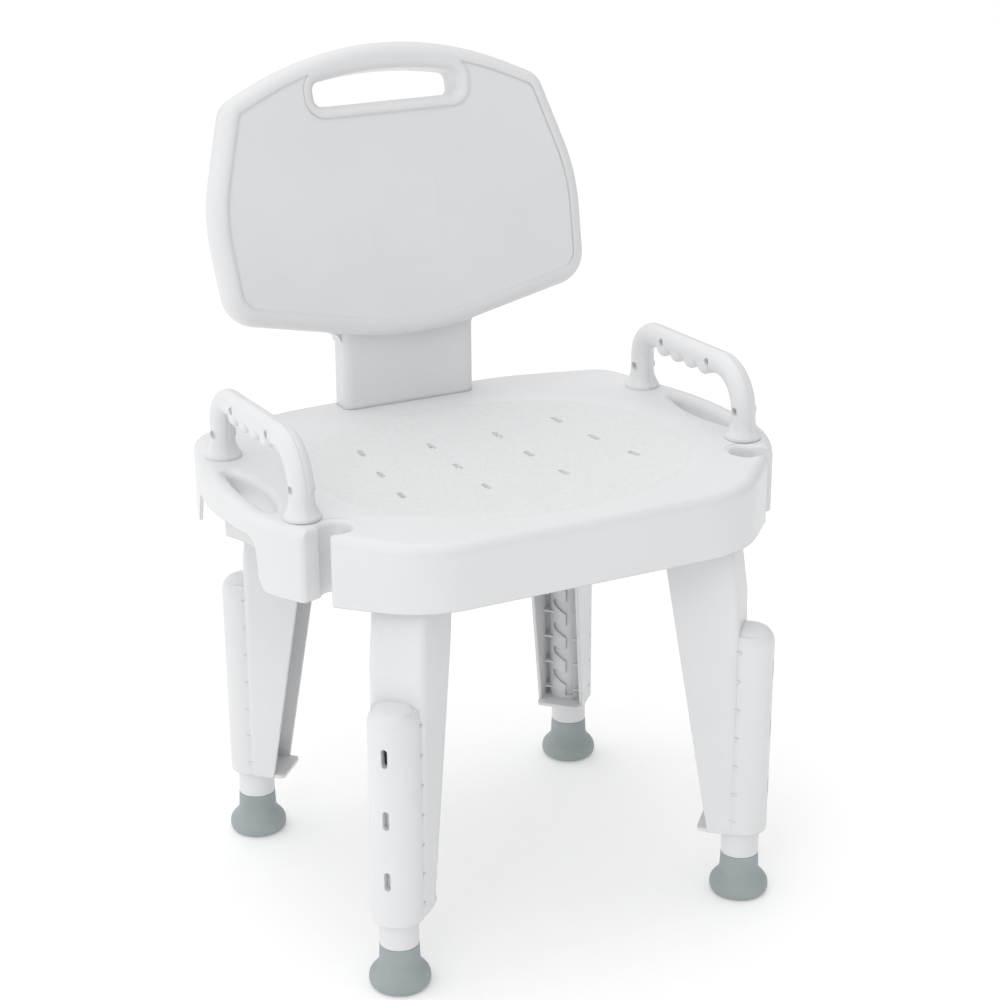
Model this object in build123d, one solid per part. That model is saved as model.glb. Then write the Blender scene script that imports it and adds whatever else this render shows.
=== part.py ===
from build123d import *
import os
from math import asin, atan2, cos, degrees, radians, sin, sqrt, tan

# ---------------------------------------------------------------------------
# Driving dimensions, millimetres. +Z up, the sitter faces -Y, and X = 0 is the
# plane of symmetry. Shapes are built with Y = 0 half way between the front
# and rear feet and are shifted by ORIGIN_Y and FLOOR_Z when they are written.
# ---------------------------------------------------------------------------
ORIGIN_Y = 22.911         # middle of the bounding box, front to back
FLOOR_Z = 4.0             # the floor, in the heights used below
CLEARANCE = 0.3           # gap between pieces that move past each other

# seat: corners of the right half of the outline, front to rear, and their radii
SEAT_Z = 406.4            # deck height beside the arms, lowest setting
SKIRT_BOTTOM_Z = 344.0
WALL = 3.0
SEAT_CORNERS = [(152, -182), (250, -84), (252, 42), (214, 167), (118, 191)]
SEAT_RADII = [90, 130, 300, 36, 200]
SEAT_REAR_Y = 198.0
SEAT_REAR_RADIUS = 600.0
SEAT_FRONT_Y = -182.0
RIM_ROLL = 10.5           # radius of the rolled rim
FALL_START_Y = -60.0      # the deck curves down in front of this line
FALL_DROP = 6.5           # by this much at the front edge
DISH_HALF_X = 196.0
DISH_HALF_Y = 165.0
DISH_CENTRE_Y = -15.0
DISH_DEPTH = 8.0
RIB = 2.2
RIB_BOTTOM_Z = 384.0
RIB_X = [68.0, 146.0]
RIB_Y = [-112.0, -33.0, 27.0, 102.0]

# drain slots of the right half, each column from rear to front
DRAIN_COLUMNS = [
    [(98.0, 55.0), (105.1, -1.0), (112.8, -58.0)],
    [(33.1, 48.0), (35.2, -8.5), (37.7, -67.0)],
]
DRAIN_LENGTH = 15.0
DRAIN_WIDTH = 4.6

# hand-hold opening beside each arm, and the cut in the skirt below it
HOLD_BAR = 20.0
HOLD_EDGE_X = 212.0
HOLD_MID_Y = 6.0
HOLD_ARC = 145.0
HOLD_CORNER = 3.0
HOLD_ROLL = 7.5
CUTOUT = [(-76.0, 336.0), (-63.0, 354.0), (-60.0, 389.0), (78.0, 381.0), (118.0, 336.0)]
CUTOUT_CORNER = 13.0
CUTOUT_END_Y = 60.0       # behind this the gap reaches in past the lens

# keyhole hose notch at each front corner
NOTCH_X = 196.0
NOTCH_Y = -108.0
NOTCH_RADIUS = 13.5
NOTCH_MOUTH = 18.0
NOTCH_TURN = -18.0        # degrees from +X
NOTCH_CORNER = 5.0
NOTCH_ROLL = 5.0
NOTCH_TOP_Z = 405.7       # deck height at the notch

# arm handle
ARM_X = 212.0
ARM_FRONT_Y = -78.5
ARM_REAR_Y = 94.5
BAR_FRONT_Z = 466.5
BAR_REAR_Z = 461.5
BEND_FRONT = 36.0
BEND_REAR = 24.0
ARM_R = 10.8
ARM_BORE = 8.2
ARM_FOOT_R = 16.2
ARM_FOOT_HEIGHT = 19.0
ARM_PLUG = 16.0           # solid length at each foot, where the bolt bites
GRIP_PITCH = 23.3
GRIP_COUNT = 4
GRIP_REAR_Y = 46.5
GRIP_R = 9.5
GRIP_DROP = 4.3
SCREW_HEAD_R = 2.9
SCREW_SHANK_R = 1.5
SCREW_BOSS_R = 4.2
SCREW_HOLE_R = 3.3
BOLT_R = 3.0
BOLT_HEAD_R = 5.2
BOLT_HEAD_HEIGHT = 4.0
WASHER_R = 7.5
WASHER_THICK = 1.6
BOSS_R = 11.0
BOLT_BITE = 12.0          # depth of the bolt in the arm's foot
SCREW_SEAT_X = -4.0       # screw head seat, from the parting plane
BOSS_BOTTOM_Z = 383.0

# backrest: panel corners of the right half in the leaning plane, and radii
BACK_LEAN = 16.2          # degrees
BACK_Y = 131.8            # front face of the panel at its lower edge
BACK_Z = 475.6
BACK_THICK = 30.0
BACK_CORNERS = [(179.5, 34), (186, 131), (157.5, 226)]
BACK_RADII = [32, 180, 24]
BACK_BOTTOM = -2.5
BACK_BOTTOM_RADIUS = 300
BACK_TOP = 296.9
BACK_TOP_RADIUS = 303
BACK_ROLL = 12.5
RECESS_INSET = 14.0
RECESS_DEPTH = 1.2
SLOT_HALF = 71.0
SLOT_BOTTOM = 215.0
SLOT_TOP = 243.5
SLOT_END_TOP = 236.0
SLOT_ROLL = 9.0
X_RIB_ENDS = [((33.4, 155.5), (112, 203)), ((34, 119), (140, 62))]
COLUMN_HALF = 35.0        # ribbed box behind the middle of the panel
COLUMN_BOTTOM = 70.0
COLUMN_TOP = 158.0
NECK_HALF = 66.0
NECK_FRONT_Y = 157.0
NECK_REAR_Y = 187.0
NECK_CORNER = 8.0
NECK_TOP_Z = 548.0
NECK_TOP_HALF = 38.0
FLARE_WIDTH = 12.0        # the neck widens into the panel's lower edge
FLARE_Z = 480.0
TONGUE_STEP = 2.0
TONGUE_LENGTH = 50.0

# leg, in its own frame: x outward from the seat's middle, y across, z up
LEG_X = 170.0
LEG_Y = 158.0
PLATE = 3.2
PLATE_X = -36.0            # the bottom plate stands out past the free edges
LEG_WALL = 3.0
# height, outer face of the web, free edge of the side walls, half width
LEG_SECTIONS = [
    (69.0, -1.2, -26.0, 22.6),
    (290.0, -3.5, -62.5, 25.2),
    (343.0, -10.5, -71.5, 24.6),
    (392.0, -11.0, -79.0, 24.6),
]
LEG_CORNER = 7.0
SOCKET_WALL = 2.4
SOCKET_BOTTOM_Z = 352.0
BULGE_BOTTOM_R, BULGE_TOP_R = 22.3, 21.6
BULGE_BOTTOM_X, BULGE_TOP_X = 1.0, 3.2
BULGE_TOP_Z = 264.0
BULGE_DOME = 14.0
SLEEVE_R = 19.6
SLEEVE_TOP_Z = 260.0
LEG_RIB_Z = [82.0, 109.3, 136.6, 163.9, 191.2, 218.5, 245.8]
LEG_RIB = 2.0
WINDOW_Z = [112.0, 168.5, 225.0]
WINDOW_HEIGHT = 17.0
WINDOW_WIDTH = 5.2

# height lock: one inch steps, the lug turns out of a channel into a pocket
STEP = 25.4
STEPS = 5
LOWEST_CEILING_Z = 100.6
CHANNEL = (-9.9, -3.0)
CHANNEL_BOTTOM_Z = 76.0
POCKET = [(-3.5, 0), (5.0, 0), (5.6, 1.2), (10.0, 1.2), (11.0, -2), (9.9, -5.5), (-1, -12.5), (-3.5, -14)]
LUG_R = 2.3
LUG_REACH = 20.6
LUG_BELOW = 2.5           # lug centre below the pocket's ceiling
LUG_FREE_ANGLE = -19.8    # degrees from straight inward; locks 42 degrees on

# extension tube and rubber tip
TUBE_R = 16.75
TUBE_BORE = 14.1
TUBE_TOP_Z = 214.0
TIP_TOP_Z = 43.5
SPIGOT_R = 13.5
SPIGOT_BORE = 11.0
SPIGOT_FIT = 0.05
TIP_FLOOR = 10.5
TIP_R = 16.9
TIP_SKIRT_R = 17.6
TIP_FOOT_R = 26.4
TIP_SOLE_R = 22.5
BORE_TOP_Z = 256.0


def mirrored(corners):
    return [(-x, y) for x, y in reversed(corners)]


def rounded_face(points, radii):
    return make_face(FilletPolyline(*points, radius=radii, close=True))


def at_z(face, z):
    return face.moved(Location((0, 0, z)))


def prism(face, low, high):
    return extrude(at_z(face, low), high - low)


def both_sides(shape):
    return shape + mirror(shape, Plane.YZ)


# ------------------------------------------------------------------ seat ---
def seat_outline():
    points = SEAT_CORNERS + [(0, SEAT_REAR_Y)] + mirrored(SEAT_CORNERS)
    radii = SEAT_RADII + [SEAT_REAR_RADIUS] + SEAT_RADII[::-1]
    return rounded_face(points, radii)


def hold_face(grow=0.0):
    """Lens between the outer bar and the deck, right side."""
    bar_inside = offset(seat_outline(), grow - HOLD_BAR)
    disc = Pos(HOLD_EDGE_X + HOLD_ARC, HOLD_MID_Y) * Circle(HOLD_ARC + grow)
    lens = bar_inside & disc
    return fillet(lens.vertices(), HOLD_CORNER)


def notch_face(grow=0.0):
    """Keyhole whose mouth runs out through the rim, right side."""
    mouth = Rectangle(80, NOTCH_MOUTH + 2 * grow, align=(Align.MIN, Align.CENTER))
    keyhole = Circle(NOTCH_RADIUS + grow) + mouth
    return Pos(NOTCH_X, NOTCH_Y) * Rot(0, 0, NOTCH_TURN) * keyhole


def notch_roll():
    """Flare that rounds the notch's top edge, right side."""
    depths = [0.0, 0.35, 1.3, 2.7, NOTCH_ROLL]
    tool = prism(notch_face(NOTCH_ROLL), NOTCH_TOP_Z, SEAT_Z + 2)
    for low, high in zip(depths[1:], depths[:-1]):
        faces = [at_z(notch_face(roll_growth(depth)), NOTCH_TOP_Z - depth) for depth in (low, high)]
        tool += loft(faces, ruled=True)
    return tool


def roll_growth(depth):
    return NOTCH_ROLL - sqrt(NOTCH_ROLL ** 2 - (NOTCH_ROLL - depth) ** 2)


def fall_tool(drop=0.0):
    """Everything above the deck's forward curve."""
    run = FALL_START_Y - SEAT_FRONT_Y
    radius = (run ** 2 + FALL_DROP ** 2) / (2 * FALL_DROP)
    block = Box(600, run + 40, 60, align=(Align.CENTER, Align.MAX, Align.CENTER))
    block = Pos(0, FALL_START_Y, SEAT_Z - drop) * block
    roller = Rot(0, 90, 0) * Cylinder(radius, 620)
    return block - Pos(0, FALL_START_Y, SEAT_Z - drop - radius) * roller


def dish_tool(drop=0.0):
    """Shallow ellipsoid bowl."""
    height = 80.0
    ring = sqrt(1 - (1 - DISH_DEPTH / height) ** 2)
    bowl = scale(Rot(0, 90, 0) * Sphere(1.0), by=(DISH_HALF_X / ring, DISH_HALF_Y / ring, height))
    return Pos(0, DISH_CENTRE_Y, SEAT_Z - DISH_DEPTH + height - drop) * bowl


def edges_between(solid, low, high):
    return [e for e in solid.edges() if low < e.bounding_box().min.Z and e.bounding_box().max.Z < high]


def body_block(inset, drop, roll):
    """Rolled, hose-notched block; inset and lowered it is the hollow."""
    outline = offset(seat_outline(), -inset) if inset else seat_outline()
    block = prism(outline, SKIRT_BOTTOM_Z - inset, SEAT_Z - drop) - fall_tool(drop)
    block = fillet(edges_between(block, SEAT_Z - drop - FALL_DROP - 1, SEAT_Z + 1), roll)
    notched = seat_outline() - both_sides(notch_face(inset))
    if inset:
        return block & prism(notched, SKIRT_BOTTOM_Z - inset - 1, SEAT_Z + 1)
    corners = [v for v in notched.vertices() if abs(v.X) > NOTCH_X + 14 and abs(v.Y - NOTCH_Y) < 20]
    notched = fillet(corners, NOTCH_CORNER)
    return block & prism(notched, SKIRT_BOTTOM_Z - 1, SEAT_Z + 1)


def outer_block():
    block = body_block(0, 0, RIM_ROLL)
    block -= both_sides(notch_roll())
    block -= both_sides(prism(hold_face(), SKIRT_BOTTOM_Z - 1, SEAT_Z + 1))
    lips = [e for e in edges_between(block, SEAT_Z - 0.1, SEAT_Z + 0.1) if hold_zone(e.center())]
    return fillet(lips, HOLD_ROLL) - dish_tool()


def hold_zone(point):
    return abs(point.X) > HOLD_EDGE_X - 6 and abs(point.Y - HOLD_MID_Y) < 68 and abs(point.X) < 234


def hollow_block():
    block = body_block(WALL, WALL, RIM_ROLL - WALL)
    block -= both_sides(prism(hold_face(WALL), SKIRT_BOTTOM_Z - 5, SEAT_Z + 1))
    return block - dish_tool(WALL)


def cutout_tool():
    """Gap in the skirt under the hand-hold bar, right side."""
    side = make_face(Polyline(*CUTOUT, close=True))
    side = Plane.YZ * fillet([v for v in side.vertices() if v.Y > SKIRT_BOTTOM_Z and v.X < 0], CUTOUT_CORNER)
    slab = extrude(Pos(HOLD_EDGE_X, 0, 0) * side, 60)
    reach = Pos(HOLD_EDGE_X + HOLD_ARC, HOLD_MID_Y) * Circle(HOLD_ARC)
    reach += Pos(HOLD_EDGE_X + 12, CUTOUT_END_Y) * Rectangle(50, 60, align=(Align.MIN, Align.MIN))
    return slab & prism(reach, SKIRT_BOTTOM_Z - 20, SEAT_Z)


def drain_slots():
    tool = None
    for column in DRAIN_COLUMNS:
        (x0, y0), (x1, y1) = column[0], column[-1]
        turn = degrees(atan2(y1 - y0, x1 - x0))
        for x, y in column:
            slot = Pos(x, y) * Rot(0, 0, turn) * SlotOverall(DRAIN_LENGTH, DRAIN_WIDTH)
            slot = prism(slot, SKIRT_BOTTOM_Z, SEAT_Z + 1)
            tool = slot if tool is None else tool + slot
    return both_sides(tool)


def under_ribs():
    ribs = None
    for x in RIB_X:
        for side in (-1, 1):
            rib = Pos(side * x, 0, RIB_BOTTOM_Z) * Box(RIB, 480, 40, align=(Align.CENTER, Align.CENTER, Align.MIN))
            ribs = rib if ribs is None else ribs + rib
    for y in RIB_Y:
        ribs += Pos(0, y, RIB_BOTTOM_Z) * Box(560, RIB, 40, align=(Align.CENTER, Align.CENTER, Align.MIN))
    return ribs


def socket_box(grow, bottom, top):
    """Space round the top of one leg, in the leg's frame."""
    web, free, half = LEG_SECTIONS[-1][1:]
    web = LEG_SECTIONS[-2][1] + CLEARANCE
    free -= CLEARANCE
    low, high = free - grow, web + grow
    wide = half + CLEARANCE + grow
    block = Box(high - low, 2 * wide, top - bottom, align=(Align.MIN, Align.CENTER, Align.MIN))
    return Pos(low, 0, bottom) * block


def leg_places():
    """Name and placement of the four legs; each is the same part turned."""
    turn = degrees(atan2(0.68, 0.733))
    return {
        "rear_right": Pos(LEG_X, LEG_Y) * Rot(0, 0, turn),
        "rear_left": Pos(-LEG_X, LEG_Y) * Rot(0, 0, 180 - turn),
        "front_left": Pos(-LEG_X, -LEG_Y) * Rot(0, 0, 180 + turn),
        "front_right": Pos(LEG_X, -LEG_Y) * Rot(0, 0, -turn),
    }


def neck_box(inset, low, high):
    deep = NECK_REAR_Y - NECK_FRONT_Y
    face = RectangleRounded(2 * (NECK_HALF - inset), deep - 2 * inset, NECK_CORNER - inset / 2)
    return prism(Pos(0, (NECK_REAR_Y + NECK_FRONT_Y) / 2) * face, low, high)


def seat_shell():
    hollow = hollow_block()
    inside = under_ribs()
    for place in leg_places().values():
        inside -= place * socket_box(SOCKET_WALL, SKIRT_BOTTOM_Z, SEAT_Z)
    for place in leg_places().values():
        inside += place * socket_box(SOCKET_WALL, SOCKET_BOTTOM_Z, SEAT_Z)
    for x, y in bolt_places():
        inside += Pos(x, y, BOSS_BOTTOM_Z) * Cylinder(BOSS_R, 40, align=(Align.CENTER, Align.CENTER, Align.MIN))
    socket_wall = TONGUE_STEP - CLEARANCE - WALL
    inside += neck_box(socket_wall, SEAT_Z - TONGUE_LENGTH, SEAT_Z)
    seat = outer_block() - hollow + (inside & hollow)
    for place in leg_places().values():
        seat -= place * socket_box(0, SKIRT_BOTTOM_Z - 10, LEG_SECTIONS[-1][0] + CLEARANCE)
    seat -= both_sides(cutout_tool())
    seat -= drain_slots()
    seat -= neck_box(TONGUE_STEP - CLEARANCE, SKIRT_BOTTOM_Z - 10, SEAT_Z + 10)
    for x, y in bolt_places():
        seat -= Pos(x, y, SEAT_Z) * Cylinder(BOLT_R + CLEARANCE, 80)
    return seat


def bolt_places():
    return [(side * ARM_X, y) for side in (-1, 1) for y in (ARM_FRONT_Y, ARM_REAR_Y)]


# ------------------------------------------------------------------ arms ---
def arm_path():
    corners = [(ARM_FRONT_Y, SEAT_Z), (ARM_FRONT_Y, BAR_FRONT_Z), (ARM_REAR_Y, BAR_REAR_Z), (ARM_REAR_Y, SEAT_Z)]
    return Plane.YZ * FilletPolyline(*corners, radius=[BEND_FRONT, BEND_REAR])


def arm_tube(radius):
    start = Pos(0, ARM_FRONT_Y, SEAT_Z) * Circle(radius)
    return sweep(start, path=arm_path())


def arm_foot(y):
    rise = Line((0, 0), (ARM_FOOT_R, 0))
    lip = Line((ARM_FOOT_R, 0), (ARM_FOOT_R, 2.5))
    flare = ThreePointArc((ARM_FOOT_R, 2.5), (ARM_R + 1.3, ARM_FOOT_HEIGHT * 0.55), (ARM_R, ARM_FOOT_HEIGHT))
    top = Polyline((ARM_R, ARM_FOOT_HEIGHT), (0, ARM_FOOT_HEIGHT), (0, 0))
    profile = make_face(Wire([*rise.edges(), *lip.edges(), *flare.edges(), *top.edges()]))
    return Pos(0, y, SEAT_Z) * revolve(Plane.XZ * profile, Axis.Z)


def bar_axis_z(y):
    part = (y - ARM_FRONT_Y) / (ARM_REAR_Y - ARM_FRONT_Y)
    return BAR_FRONT_Z + part * (BAR_REAR_Z - BAR_FRONT_Z)


def grip_bump(y):
    bump = Rot(0, 90, 0) * Cylinder(GRIP_R, 2 * GRIP_R + 2)
    bump = fillet(bump.edges().filter_by(GeomType.CIRCLE), 4.5)
    return Pos(0, y, bar_axis_z(y) - GRIP_DROP) * bump


def screw_points():
    """Screws through the clamshell, as (y, z)."""
    bar = [(y, bar_axis_z(y)) for y in (45.0, -32.5)]
    return bar + [(ARM_REAR_Y - 2, 428.0), (ARM_FRONT_Y - 1, 432.0)]


def bar_x(radius, low, high):
    return Pos(low, 0, 0) * Rot(0, 90, 0) * Cylinder(radius, high - low, align=(Align.CENTER, Align.CENTER, Align.MIN))


def arm_whole():
    """One closed handle about X = 0, still in one piece."""
    arm = arm_tube(ARM_R) + arm_foot(ARM_FRONT_Y) + arm_foot(ARM_REAR_Y)
    for index in range(GRIP_COUNT):
        arm += grip_bump(GRIP_REAR_Y - index * GRIP_PITCH)
    plugs = [Pos(0, y, SEAT_Z) * Cylinder(ARM_R, 2 * ARM_PLUG) for y in (ARM_FRONT_Y, ARM_REAR_Y)]
    arm -= arm_tube(ARM_BORE) - plugs[0] - plugs[1]
    for y, z in screw_points():
        arm += Pos(0, y, z) * bar_x(SCREW_BOSS_R, 0.5 - ARM_R, ARM_R - 0.5)
    for y, z in screw_points():
        arm -= Pos(0, y, z) * bar_x(SCREW_HOLE_R, -ARM_R - 1, SCREW_SEAT_X)
        arm -= Pos(0, y, z) * bar_x(SCREW_SHANK_R + 0.05, SCREW_SEAT_X - 1, -SCREW_SEAT_X + 4)
    for y in (ARM_FRONT_Y, ARM_REAR_Y):
        arm -= Pos(0, y, SEAT_Z) * Cylinder(BOLT_R + 0.05, 2 * BOLT_BITE)
    return arm


def arm_half(side):
    """The clamshell half on one side of its parting plane."""
    keep = Box(60, 400, 400, align=(Align.MIN if side > 0 else Align.MAX, Align.CENTER, Align.CENTER))
    return arm_whole() & Pos(0, 0, SEAT_Z) * keep


def arm_screws():
    screws = None
    for y, z in screw_points():
        head = bar_x(SCREW_HEAD_R, SCREW_SEAT_X - 2.2, SCREW_SEAT_X)
        cross = Pos(SCREW_SEAT_X - 2.2, 0, 0) * (Box(1.6, 3.2, 0.8) + Box(1.6, 0.8, 3.2))
        screw = Pos(0, y, z) * (head + bar_x(SCREW_SHANK_R, SCREW_SEAT_X - 0.5, 3.5 - SCREW_SEAT_X) - cross)
        screws = screw if screws is None else screws + screw
    return screws


def bolt_under(y):
    shank_bottom = BOSS_BOTTOM_Z - WASHER_THICK
    up = (Align.CENTER, Align.CENTER, Align.MIN)
    shank = Pos(0, y, shank_bottom) * Cylinder(BOLT_R, SEAT_Z + BOLT_BITE - 1 - shank_bottom, align=up)
    head = Cylinder(BOLT_HEAD_R, BOLT_HEAD_HEIGHT, align=(Align.CENTER, Align.CENTER, Align.MAX))
    hexagon = prism(RegularPolygon(2.9, 6), -BOLT_HEAD_HEIGHT - 1, -1.6)
    return shank + Pos(0, y, shank_bottom) * (head - hexagon)


def arm_bolts():
    return bolt_under(ARM_FRONT_Y) + bolt_under(ARM_REAR_Y)


def arm_washers():
    ring = Cylinder(WASHER_R, WASHER_THICK) - Cylinder(BOLT_R + CLEARANCE, 2 * WASHER_THICK)
    z = BOSS_BOTTOM_Z - WASHER_THICK / 2
    return Pos(0, ARM_FRONT_Y, z) * ring + Pos(0, ARM_REAR_Y, z) * ring


# -------------------------------------------------------------- backrest ---
def back_plane():
    lean = radians(BACK_LEAN)
    return Plane(origin=(0, BACK_Y, BACK_Z), x_dir=(1, 0, 0), z_dir=(0, -cos(lean), sin(lean)))


def back_outline():
    points = BACK_CORNERS + [(0, BACK_TOP)] + mirrored(BACK_CORNERS) + [(0, BACK_BOTTOM)]
    return rounded_face(points, BACK_RADII + [BACK_TOP_RADIUS] + BACK_RADII[::-1] + [BACK_BOTTOM_RADIUS])


def handle_face():
    arch = ThreePointArc((SLOT_HALF, SLOT_END_TOP), (0, SLOT_TOP), (-SLOT_HALF, SLOT_END_TOP))
    sides = Polyline((-SLOT_HALF, SLOT_END_TOP), (-SLOT_HALF, SLOT_BOTTOM), (SLOT_HALF, SLOT_BOTTOM),
                     (SLOT_HALF, SLOT_END_TOP))
    face = make_face(Wire([*arch.edges(), *sides.edges()]))
    return fillet(face.vertices(), 8)


def panel_solid():
    """The rolled panel before hollowing, front face at z = 0."""
    panel = prism(back_outline(), -BACK_THICK, 0)
    panel = fillet(edges_between(panel, -0.1, 0.1) + edges_between(panel, -BACK_THICK - 0.1, 0.1 - BACK_THICK),
                   BACK_ROLL)
    panel -= prism(handle_face(), -BACK_THICK - 1, 1)
    lips = [e for e in edges_between(panel, -0.1, 0.1) if slot_zone(e.center())]
    panel = fillet(lips, SLOT_ROLL)
    recess = prism(offset(back_outline(), -RECESS_INSET), -RECESS_DEPTH, 1)
    lip = prism(offset(handle_face(), SLOT_ROLL + 2), -BACK_THICK, 1)
    return panel - (recess - lip)


def slot_zone(point):
    return abs(point.X) < SLOT_HALF + 2 and SLOT_BOTTOM - 2 < point.Y < SLOT_TOP + 2


def panel_hollow():
    inside = prism(offset(back_outline(), -WALL), -BACK_THICK - 1, -WALL - RECESS_DEPTH)
    inside = fillet(edges_between(inside, -WALL - RECESS_DEPTH - 0.1, 0), BACK_ROLL - WALL)
    walls = offset(handle_face(), WALL)
    return inside - prism(walls, -BACK_THICK - 2, 1)


def thin_wall(start, end, depth, thick=2.4):
    (x0, y0), (x1, y1) = start, end
    length = sqrt((x1 - x0) ** 2 + (y1 - y0) ** 2)
    turn = degrees(atan2(y1 - y0, x1 - x0))
    wall = Box(length, thick, depth, align=(Align.MIN, Align.CENTER, Align.MAX))
    return Pos(x0, y0, 0) * Rot(0, 0, turn) * wall


def back_ribs():
    deep = BACK_THICK - 4.0
    tall = COLUMN_TOP - COLUMN_BOTTOM
    frame = Box(2 * COLUMN_HALF, tall, deep, align=(Align.CENTER, Align.MIN, Align.MAX))
    frame -= Pos(0, 2.4, 0) * Box(2 * COLUMN_HALF - 4.8, tall - 4.8, 3 * deep, align=(Align.CENTER, Align.MIN, Align.CENTER))
    ribs = Pos(0, COLUMN_BOTTOM, 0) * frame
    for start, end in X_RIB_ENDS:
        ribs += both_sides(thin_wall(start, end, deep))
    return ribs


def neck_taper(inset):
    """Front view of the neck, narrowing towards its top."""
    half, top = NECK_HALF - inset, NECK_TOP_Z - inset
    right = [(half, SEAT_Z - TONGUE_LENGTH), (half, 492.0), (NECK_TOP_HALF - inset, top)]
    face = make_face(Polyline(*right, *mirrored(right), close=True))
    return extrude(Plane.XZ.offset(-150) * face, -60)


def neck_flare():
    """Concave webs where the neck meets the panel's lower edge."""
    x, reach = NECK_HALF, FLARE_WIDTH
    curve = ThreePointArc((x, FLARE_Z - reach), (x + 0.293 * reach, FLARE_Z - 0.293 * reach), (x + reach, FLARE_Z))
    rest = Polyline((x + reach, FLARE_Z), (x + reach, FLARE_Z + 7), (x - 6, FLARE_Z + 7), (x - 6, FLARE_Z - reach),
                    (x, FLARE_Z - reach))
    web = make_face(Wire([*curve.edges(), *rest.edges()]))
    return both_sides(extrude(Plane.XZ.offset(-NECK_FRONT_Y - 8) * web, NECK_FRONT_Y + 9.5 - NECK_REAR_Y))


def backrest():
    plane = back_plane()
    shell = plane * (panel_solid() - panel_hollow() + (back_ribs() & panel_hollow()))
    neck = neck_box(0, SEAT_Z + CLEARANCE, NECK_TOP_Z) & neck_taper(0)
    neck += neck_box(TONGUE_STEP, SEAT_Z - TONGUE_LENGTH, SEAT_Z + 2)
    core = neck_box(WALL, SEAT_Z + CLEARANCE + 2, NECK_TOP_Z) & neck_taper(WALL)
    core += neck_box(TONGUE_STEP + WALL, SEAT_Z - TONGUE_LENGTH - 1, SEAT_Z + 4)
    front = plane * Pos(0, 0, -WALL) * Box(900, 900, 200, align=(Align.CENTER, Align.CENTER, Align.MIN))
    keep = neck - (front & plane * prism(back_outline(), -WALL, 40))
    window = plane * prism(handle_face(), -BACK_THICK - 40, 20)
    return shell + (keep + neck_flare() - core) - window


# ------------------------------------------------------------------ legs ---
def leg_section(z, web, free, half, inset=0.0):
    x = web - inset
    y = half - inset
    low = free - (8.0 if inset else 0.0)
    face = make_face(Polyline((low, -y), (x, -y), (x, y), (low, y), close=True))
    corners = [v for v in face.vertices() if v.X > low + 1]
    return at_z(fillet(corners, LEG_CORNER - inset), z)


def leg_loft(inset=0.0):
    return loft([leg_section(*section, inset=inset) for section in LEG_SECTIONS], ruled=True)


def bulge():
    bottom = LEG_SECTIONS[0][0]
    low = at_z(Pos(BULGE_BOTTOM_X, 0) * Circle(BULGE_BOTTOM_R), bottom)
    high = at_z(Pos(BULGE_TOP_X, 0) * Circle(BULGE_TOP_R), BULGE_TOP_Z)
    body = loft([low, high], ruled=True)
    body = fillet(edges_between(body, BULGE_TOP_Z - 1, BULGE_TOP_Z + 1), BULGE_DOME)
    half = Box(60, 80, 400, align=(Align.MIN, Align.CENTER, Align.MIN))
    return body & Pos(LEG_SECTIONS[1][1] - 2, 0, 0) * half


def cross_ribs():
    ribs = None
    half = LEG_SECTIONS[0][3]
    for z in LEG_RIB_Z:
        rib = Pos(-17, 0, z) * Box(16, 2 * half, LEG_RIB, align=(Align.MIN, Align.CENTER, Align.CENTER))
        ribs = rib if ribs is None else ribs + rib
    return ribs


def lug_way():
    """Vertical channel and the stepped pockets, cut inward through the sleeve."""
    low, high = CHANNEL
    face = make_face(Polyline((low, CHANNEL_BOTTOM_Z), (high, CHANNEL_BOTTOM_Z), (high, SLEEVE_TOP_Z + 1),
                              (low, SLEEVE_TOP_Z + 1), close=True))
    for index in range(STEPS):
        ceiling = LOWEST_CEILING_Z + index * STEP
        face += make_face(Polyline(*[(t, ceiling + z) for t, z in POCKET], close=True))
    return extrude(Plane(origin=(-25, 0, 0), x_dir=(0, 1, 0), z_dir=(1, 0, 0)) * face, 13)


def leg_housing():
    """One leg housing in its own frame, open on the inward side."""
    up = (Align.CENTER, Align.CENTER, Align.MIN)
    bottom = LEG_SECTIONS[0][0]
    leg = leg_loft() - leg_loft(LEG_WALL)
    leg += bulge() + Pos(0, 0, bottom) * Cylinder(SLEEVE_R, SLEEVE_TOP_Z - bottom, align=up)
    plate_span = LEG_SECTIONS[0][1] - PLATE_X
    plate = Box(plate_span, 2 * LEG_SECTIONS[0][3] - 2, PLATE, align=(Align.MAX, Align.CENTER, Align.MIN))
    plate = fillet(plate.edges().filter_by(Axis.Z).group_by(Axis.X)[0], 4)
    leg += Pos(LEG_SECTIONS[0][1], 0, bottom) * plate
    leg += cross_ribs()
    leg -= Pos(0, 0, bottom - 1) * Cylinder(TUBE_R + CLEARANCE, BORE_TOP_Z - bottom + 1, align=up)
    for z in WINDOW_Z:
        slot = SlotOverall(WINDOW_HEIGHT, WINDOW_WIDTH, rotation=90)
        plane = Plane(origin=(TUBE_R - 3, 0, z), x_dir=(0, 1, 0), z_dir=(1, 0, 0))
        leg -= extrude(plane * slot, 20)
    return leg - lug_way()


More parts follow.
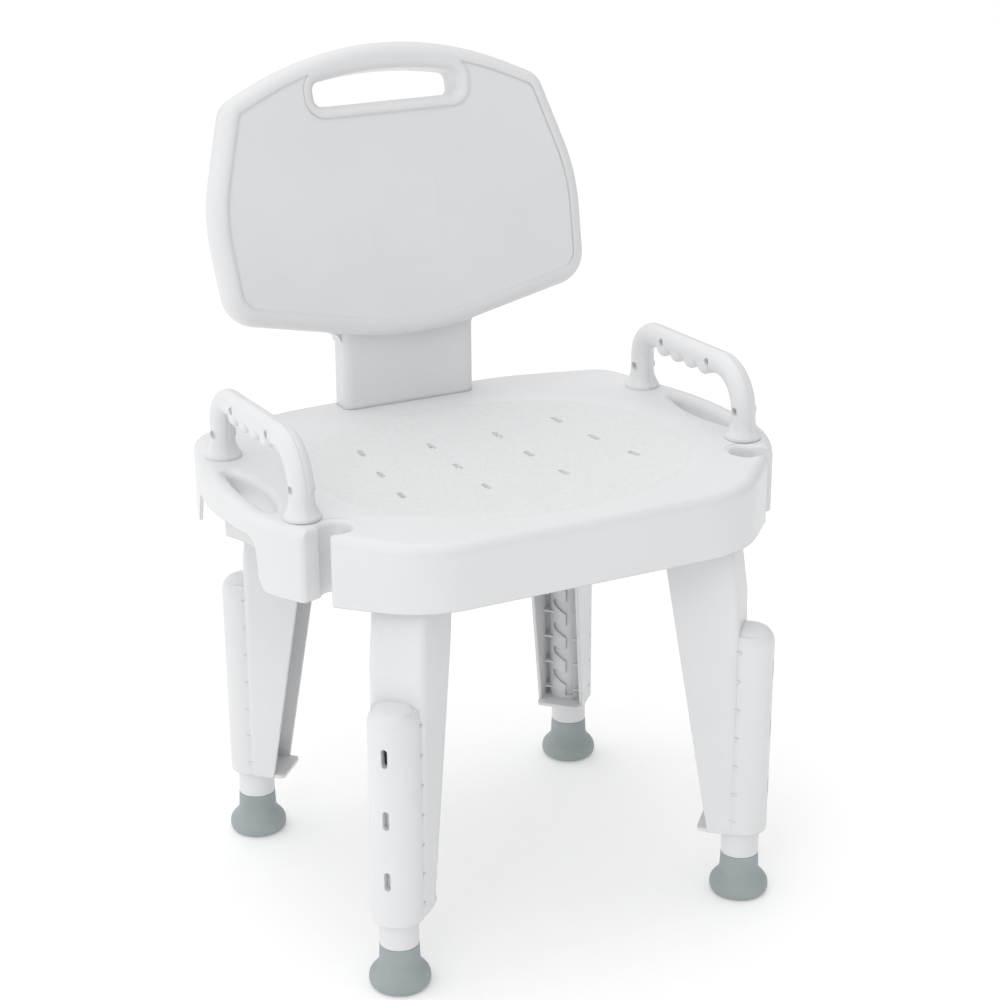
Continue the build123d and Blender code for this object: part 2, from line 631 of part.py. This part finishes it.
def extension_tube():
    up = (Align.CENTER, Align.CENTER, Align.MIN)
    tube = Pos(0, 0, TIP_TOP_Z) * Cylinder(TUBE_R, TUBE_TOP_Z - TIP_TOP_Z, align=up)
    tube += Pos(0, 0, TIP_FLOOR + CLEARANCE) * Cylinder(SPIGOT_R, TIP_TOP_Z - TIP_FLOOR, align=up)
    tube -= Pos(0, 0, TIP_TOP_Z + 10) * Cylinder(TUBE_BORE, TUBE_TOP_Z, align=up)
    tube -= Cylinder(SPIGOT_BORE, TIP_TOP_Z + 11, align=up)
    lug_z = LOWEST_CEILING_Z + (STEPS - 1) * STEP - LUG_BELOW
    pin = Rot(0, 90, 0) * Cylinder(LUG_R, LUG_REACH - TUBE_BORE - 0.5, align=(Align.CENTER, Align.CENTER, Align.MAX))
    pin = Pos(-TUBE_BORE - 0.5, 0, lug_z) * pin
    return tube + Rot(0, 0, -LUG_FREE_ANGLE) * pin


def rubber_tip():
    top = TIP_TOP_Z - CLEARANCE
    rise = [(TIP_SOLE_R, 0), (TIP_FOOT_R - 0.7, 3), (TIP_FOOT_R, 7.5), (TIP_FOOT_R - 0.9, 12), (TIP_SKIRT_R + 3.6, 17.5),
            (TIP_SKIRT_R, 24)]
    side = [(x, FLOOR_Z + z) for x, z in rise]
    outer = Spline(*side)
    rest = Polyline(side[-1], (TIP_R, top), (SPIGOT_R + SPIGOT_FIT, top), (SPIGOT_R + SPIGOT_FIT, TIP_FLOOR),
                    (0, TIP_FLOOR), (0, FLOOR_Z), side[0])
    profile = make_face(Wire([*outer.edges(), *rest.edges()]))
    return revolve(Plane.XZ * profile, Axis.Z)


# ---------------------------------------------------------------- export ---
def write(name, shape):
    export_step(Pos(0, -ORIGIN_Y, -FLOOR_Z) * shape, f"parts/{name}.step")


def main():
    os.makedirs("parts", exist_ok=True)
    write("seat_shell", seat_shell())
    write("backrest", backrest())
    for side_name, x in (("left", -ARM_X), ("right", ARM_X)):
        place = Pos(x, 0, 0)
        outward = 1 if x > 0 else -1
        write(f"{side_name}_arm_outer", place * arm_half(outward))
        write(f"{side_name}_arm_inner", place * arm_half(-outward))
        write(f"{side_name}_arm_screws", place * arm_screws())
        write(f"{side_name}_arm_bolts", place * arm_bolts())
        write(f"{side_name}_arm_washers", place * arm_washers())
    housing, tube, tip = leg_housing(), extension_tube(), rubber_tip()
    for name, place in leg_places().items():
        write(f"leg_housing_{name}", place * housing)
        write(f"extension_{name}", place * tube)
        write(f"rubber_tip_{name}", place * tip)


main()
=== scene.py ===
import bpy
import math
from mathutils import Matrix, Vector

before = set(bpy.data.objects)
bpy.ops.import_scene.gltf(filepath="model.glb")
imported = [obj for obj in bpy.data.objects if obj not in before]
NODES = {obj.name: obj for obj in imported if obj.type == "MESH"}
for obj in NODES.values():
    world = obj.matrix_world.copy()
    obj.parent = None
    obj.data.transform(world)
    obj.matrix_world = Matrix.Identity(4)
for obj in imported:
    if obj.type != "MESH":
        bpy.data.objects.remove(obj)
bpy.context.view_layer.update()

# Metres and degrees.
CAMERA_PLACE = (-0.90377, -1.769791, 1.08209)
CAMERA_YAW, CAMERA_PITCH, CAMERA_ROLL = 26.938, 20.344, -0.499
CAMERA_LENS = 85.492      # millimetres, on a 36 mm sensor
CAMERA_SHIFT = (0.02642, 0.00209)
FLOOR_HALF = 9.0
FLOOR_GLOW = 0.16
LIGHT_TARGET = (0, 0, 0.4)
ROOM_RIGHT = (0.89, -0.45, 0.0)      # the camera's right, level

# The oval lies on the deck; the sink lines are (distance from the middle, distance up the panel).
PLASTIC = (0.78, 0.79, 0.80)
PLASTIC_DARK = (0.765, 0.775, 0.785)
PLASTIC_LIGHT = (0.795, 0.805, 0.815)
OVAL_DARK = (0.735, 0.745, 0.75)
OVAL_LIGHT = (0.785, 0.795, 0.80)
OVAL_HALF_X, OVAL_HALF_Y = 0.170, 0.143
OVAL_Y = -0.0379
DECK_LOW_Z = 0.392
BACK_LEAN = math.radians(16.2)
BACK_LOW_Z = 0.4716
SINK_LINES = [((0.034, 0.070), (0.034, 0.158)), ((0.0, 0.158), (0.034, 0.158)), ((0.0, 0.070), (0.034, 0.070)),
              ((0.037, 0.161), (0.103, 0.198)), ((0.036, 0.118), (0.131, 0.067))]


# ---------------------------------------------------------------- camera ---
def make_camera():
    yaw, pitch, roll = (math.radians(angle) for angle in (CAMERA_YAW, CAMERA_PITCH, CAMERA_ROLL))
    forward = Vector((math.sin(yaw) * math.cos(pitch), math.cos(yaw) * math.cos(pitch), -math.sin(pitch)))
    right = Vector((math.cos(yaw), -math.sin(yaw), 0.0))
    up = right.cross(forward)
    side = math.cos(roll) * right + math.sin(roll) * up
    top = math.cos(roll) * up - math.sin(roll) * right
    data = bpy.data.cameras.new("camera")
    data.sensor_width = 36.0
    data.lens = CAMERA_LENS
    data.shift_x, data.shift_y = CAMERA_SHIFT
    data.clip_end = 50.0
    camera = bpy.data.objects.new("camera", data)
    bpy.context.collection.objects.link(camera)
    turn = Matrix((side, top, -forward)).transposed().to_4x4()
    camera.matrix_world = Matrix.Translation(CAMERA_PLACE) @ turn
    bpy.context.scene.camera = camera


# ------------------------------------------------------------- materials ---
def node(tree, kind, **settings):
    made = tree.nodes.new(kind)
    for name, value in settings.items():
        setattr(made, name, value)
    return made


def new_material(name, color, roughness, specular=0.5):
    material = bpy.data.materials.new(name)
    material.use_nodes = True
    shader = material.node_tree.nodes["Principled BSDF"]
    shader.inputs["Base Color"].default_value = (*color, 1.0)
    shader.inputs["Roughness"].default_value = roughness
    shader.inputs["Specular IOR Level"].default_value = specular
    return material, material.node_tree, shader


def object_point(tree):
    return node(tree, "ShaderNodeTexCoord").outputs["Object"]


def noise(tree, point, scale, detail=2.0, roughness=0.5):
    made = node(tree, "ShaderNodeTexNoise")
    made.inputs["Scale"].default_value = scale
    made.inputs["Detail"].default_value = detail
    made.inputs["Roughness"].default_value = roughness
    tree.links.new(point, made.inputs["Vector"])
    return made.outputs["Fac"]


def remap(tree, value, low, high, from_low=0.0, from_high=1.0):
    made = node(tree, "ShaderNodeMapRange")
    made.inputs["From Min"].default_value = from_low
    made.inputs["From Max"].default_value = from_high
    made.inputs["To Min"].default_value = low
    made.inputs["To Max"].default_value = high
    tree.links.new(value, made.inputs["Value"])
    return made.outputs["Result"]


def bump(tree, height, strength, distance, normal=None):
    made = node(tree, "ShaderNodeBump")
    made.inputs["Strength"].default_value = strength
    made.inputs["Distance"].default_value = distance
    tree.links.new(height, made.inputs["Height"])
    if normal is not None:
        tree.links.new(normal, made.inputs["Normal"])
    return made.outputs["Normal"]


def tint(tree, value, dark, light):
    ramp = node(tree, "ShaderNodeValToRGB")
    ramp.color_ramp.elements[0].color = (*dark, 1.0)
    ramp.color_ramp.elements[0].position = 0.3
    ramp.color_ramp.elements[1].color = (*light, 1.0)
    ramp.color_ramp.elements[1].position = 0.7
    tree.links.new(value, ramp.inputs["Fac"])
    return ramp.outputs["Color"]


def math_node(tree, operation, first, second=None):
    made = node(tree, "ShaderNodeMath", operation=operation)
    for socket, value in zip(made.inputs, (first, second)):
        if isinstance(value, (int, float)):
            socket.default_value = value
        elif value is not None:
            tree.links.new(value, socket)
    return made.outputs["Value"]


def parts_of(tree, point):
    made = node(tree, "ShaderNodeSeparateXYZ")
    tree.links.new(point, made.inputs["Vector"])
    return made.outputs["X"], made.outputs["Y"], made.outputs["Z"]


def edge_round(tree, radius):
    made = node(tree, "ShaderNodeBevel", samples=6)
    made.inputs["Radius"].default_value = radius
    return made.outputs["Normal"]


def deck_mask(tree, point):
    """One inside the textured oval on the deck, nought outside."""
    x, y, z = parts_of(tree, point)
    across = math_node(tree, "MULTIPLY", x, 1 / OVAL_HALF_X)
    along = math_node(tree, "MULTIPLY", math_node(tree, "SUBTRACT", y, OVAL_Y), 1 / OVAL_HALF_Y)
    squares = [math_node(tree, "POWER", math_node(tree, "ABSOLUTE", value), 2.3) for value in (across, along)]
    inside = remap(tree, math_node(tree, "ADD", *squares), 1.0, 0.0, 0.97, 1.03)
    above = remap(tree, z, 0.0, 1.0, DECK_LOW_Z, DECK_LOW_Z + 0.002)
    return math_node(tree, "MULTIPLY", inside, above)


def deck_plastic():
    """The seat's plastic: satin rim, and a pebbled matt oval on the deck."""
    roughness = 0.34
    material, tree, shader = new_material("white_plastic_seat", PLASTIC, roughness, 0.42)
    point = object_point(tree)
    mask = deck_mask(tree, point)
    cloud = tint(tree, noise(tree, point, 9.0, 3.0), PLASTIC_DARK, PLASTIC_LIGHT)
    matt = tint(tree, noise(tree, point, 260.0, 3.0), OVAL_DARK, OVAL_LIGHT)
    mix = node(tree, "ShaderNodeMix", data_type="RGBA")
    tree.links.new(mask, mix.inputs["Factor"])
    tree.links.new(cloud, mix.inputs[6])
    tree.links.new(matt, mix.inputs[7])
    tree.links.new(mix.outputs[2], shader.inputs["Base Color"])
    sheen = remap(tree, noise(tree, point, 60.0, 4.0), roughness - 0.05, roughness + 0.06)
    rough = math_node(tree, "ADD", sheen, math_node(tree, "MULTIPLY", mask, 0.30))
    tree.links.new(rough, shader.inputs["Roughness"])
    pebbles = math_node(tree, "MULTIPLY", noise(tree, point, 420.0, 3.0, 0.6), mask)
    step = bump(tree, mask, 0.35, 0.0004, edge_round(tree, 0.0022))
    normal = bump(tree, pebbles, 0.55, 0.0006, step)
    tree.links.new(bump(tree, noise(tree, point, 900.0, 2.0), 0.10, 0.0002, normal), shader.inputs["Normal"])
    return material


def line_mask(tree, u, v, start, end, half_width):
    """One on the segment from start to end in the (u, v) plane, falling to nought beside it."""
    length = math.dist(start, end)
    du, dv = (end[0] - start[0]) / length, (end[1] - start[1]) / length
    out_u = math_node(tree, "SUBTRACT", u, start[0])
    out_v = math_node(tree, "SUBTRACT", v, start[1])
    run = math_node(tree, "ADD", math_node(tree, "MULTIPLY", out_u, du), math_node(tree, "MULTIPLY", out_v, dv))
    off = math_node(tree, "SUBTRACT", math_node(tree, "MULTIPLY", out_v, du), math_node(tree, "MULTIPLY", out_u, dv))
    beside = remap(tree, math_node(tree, "ABSOLUTE", off), 1.0, 0.0, half_width * 0.3, half_width)
    middle = math_node(tree, "ABSOLUTE", math_node(tree, "SUBTRACT", run, length / 2))
    within = remap(tree, middle, 1.0, 0.0, length / 2 - 0.004, length / 2 + 0.002)
    return math_node(tree, "MULTIPLY", beside, within)


def back_plastic():
    """The backrest's plastic, with faint sink lines over the ribs behind its face."""
    roughness = 0.36
    material, tree, shader = new_material("white_plastic_back", PLASTIC, roughness, 0.42)
    point = object_point(tree)
    x, _, z = parts_of(tree, point)
    side = math_node(tree, "ABSOLUTE", x)
    up = math_node(tree, "MULTIPLY", math_node(tree, "SUBTRACT", z, BACK_LOW_Z), 1 / math.cos(BACK_LEAN))
    marks = None
    for start, end in SINK_LINES:
        mark = line_mask(tree, side, up, start, end, 0.0035)
        marks = mark if marks is None else math_node(tree, "MAXIMUM", marks, mark)
    tree.links.new(tint(tree, noise(tree, point, 9.0, 3.0), PLASTIC_DARK, PLASTIC_LIGHT), shader.inputs["Base Color"])
    sheen = remap(tree, noise(tree, point, 60.0, 4.0), roughness - 0.04, roughness + 0.05)
    tree.links.new(math_node(tree, "SUBTRACT", sheen, math_node(tree, "MULTIPLY", marks, 0.05)),
                   shader.inputs["Roughness"])
    waves = bump(tree, noise(tree, point, 14.0, 1.0), 0.10, 0.002, edge_round(tree, 0.006))
    normal = bump(tree, marks, 0.16, 0.0006, waves)
    tree.links.new(bump(tree, noise(tree, point, 900.0, 2.0), 0.10, 0.0002, normal), shader.inputs["Normal"])
    return material


def white_plastic(name, roughness=0.36):
    material, tree, shader = new_material(name, PLASTIC, roughness, 0.42)
    point = object_point(tree)
    cloud = noise(tree, point, 9.0, 3.0)
    tree.links.new(tint(tree, cloud, PLASTIC_DARK, PLASTIC_LIGHT), shader.inputs["Base Color"])
    tree.links.new(remap(tree, noise(tree, point, 60.0, 4.0), roughness - 0.05, roughness + 0.06),
                   shader.inputs["Roughness"])
    grain = noise(tree, point, 900.0, 2.0)
    waves = noise(tree, point, 14.0, 1.0)
    normal = bump(tree, grain, 0.12, 0.0002, edge_round(tree, 0.0012))
    tree.links.new(bump(tree, waves, 0.10, 0.002, normal), shader.inputs["Normal"])
    return material


def grey_rubber():
    material, tree, shader = new_material("rubber_tip_grey", (0.36, 0.40, 0.41), 0.55, 0.4)
    point = object_point(tree)
    tree.links.new(tint(tree, noise(tree, point, 25.0, 4.0), (0.33, 0.37, 0.38), (0.39, 0.43, 0.44)),
                   shader.inputs["Base Color"])
    tree.links.new(remap(tree, noise(tree, point, 80.0, 4.0), 0.45, 0.65), shader.inputs["Roughness"])
    tree.links.new(bump(tree, noise(tree, point, 700.0, 3.0), 0.2, 0.0003), shader.inputs["Normal"])
    return material


def steel():
    material, tree, shader = new_material("steel_fastener", (0.60, 0.60, 0.59), 0.32)
    shader.inputs["Metallic"].default_value = 1.0
    point = object_point(tree)
    tree.links.new(remap(tree, noise(tree, point, 400.0, 3.0), 0.25, 0.42), shader.inputs["Roughness"])
    tree.links.new(bump(tree, noise(tree, point, 1500.0, 2.0), 0.15, 0.0001), shader.inputs["Normal"])
    return material


def dress_nodes():
    plastic = white_plastic("white_plastic_smooth")
    seat = deck_plastic()
    back = back_plastic()
    rubber = grey_rubber()
    metal = steel()
    for name, piece in NODES.items():
        if name.startswith("rubber_tip"):
            chosen = rubber
        elif name.endswith(("screws", "bolts", "washers")):
            chosen = metal
        elif name == "seat_shell":
            chosen = seat
        elif name == "backrest":
            chosen = back
        else:
            chosen = plastic
        for slot in piece.material_slots:
            slot.material = chosen


# ----------------------------------------------------------------- stage ---
def area_light(name, place, target, size, power):
    data = bpy.data.lights.new(name, "AREA")
    data.shape = "RECTANGLE"
    data.size, data.size_y = size
    data.energy = power
    light = bpy.data.objects.new(name, data)
    bpy.context.collection.objects.link(light)
    light.location = place
    light.rotation_euler = (Vector(target) - Vector(place)).to_track_quat("-Z", "Y").to_euler()


def shade_world(tree):
    """A white room, brighter overhead and on the camera's left."""
    way = node(tree, "ShaderNodeTexCoord").outputs["Generated"]
    across = node(tree, "ShaderNodeVectorMath", operation="DOT_PRODUCT")
    tree.links.new(way, across.inputs[0])
    across.inputs[1].default_value = ROOM_RIGHT
    sideways = remap(tree, across.outputs["Value"], 0.34, -0.28, -1.0, 1.0)
    upwards = remap(tree, parts_of(tree, way)[2], 0.48, 1.10)
    tree.links.new(math_node(tree, "ADD", sideways, upwards), tree.nodes["Background"].inputs["Strength"])


def make_stage():
    mesh = bpy.data.meshes.new("floor")
    half = FLOOR_HALF
    corners = [(-half, -half, 0), (half, -half, 0), (half, half, 0), (-half, half, 0)]
    mesh.from_pydata(corners, [], [(0, 1, 2, 3)])
    floor = bpy.data.objects.new("floor", mesh)
    bpy.context.collection.objects.link(floor)
    floor.location.z = -0.0004
    material, tree, shader = new_material("pale_floor", (0.93, 0.93, 0.93), 0.8, 0.1)
    shader.inputs["Emission Color"].default_value = (1.0, 1.0, 1.0, 1.0)
    shader.inputs["Emission Strength"].default_value = FLOOR_GLOW
    speckle = noise(tree, object_point(tree), 40.0, 3.0)
    tree.links.new(tint(tree, speckle, (0.92, 0.92, 0.92), (0.94, 0.94, 0.94)), shader.inputs["Base Color"])
    mesh.materials.append(material)
    world = bpy.data.worlds.new("studio")
    world.use_nodes = True
    world.node_tree.nodes["Background"].inputs["Color"].default_value = (1.0, 1.0, 1.0, 1.0)
    shade_world(world.node_tree)
    bpy.context.scene.world = world
    area_light("key", (-1.6, -1.8, 2.4), LIGHT_TARGET, (1.6, 1.6), 9)
    area_light("top", (0.2, 0.4, 2.8), LIGHT_TARGET, (2.2, 2.2), 6)
    bpy.context.scene.view_settings.view_transform = "Standard"


make_camera()
make_stage()
dress_nodes()
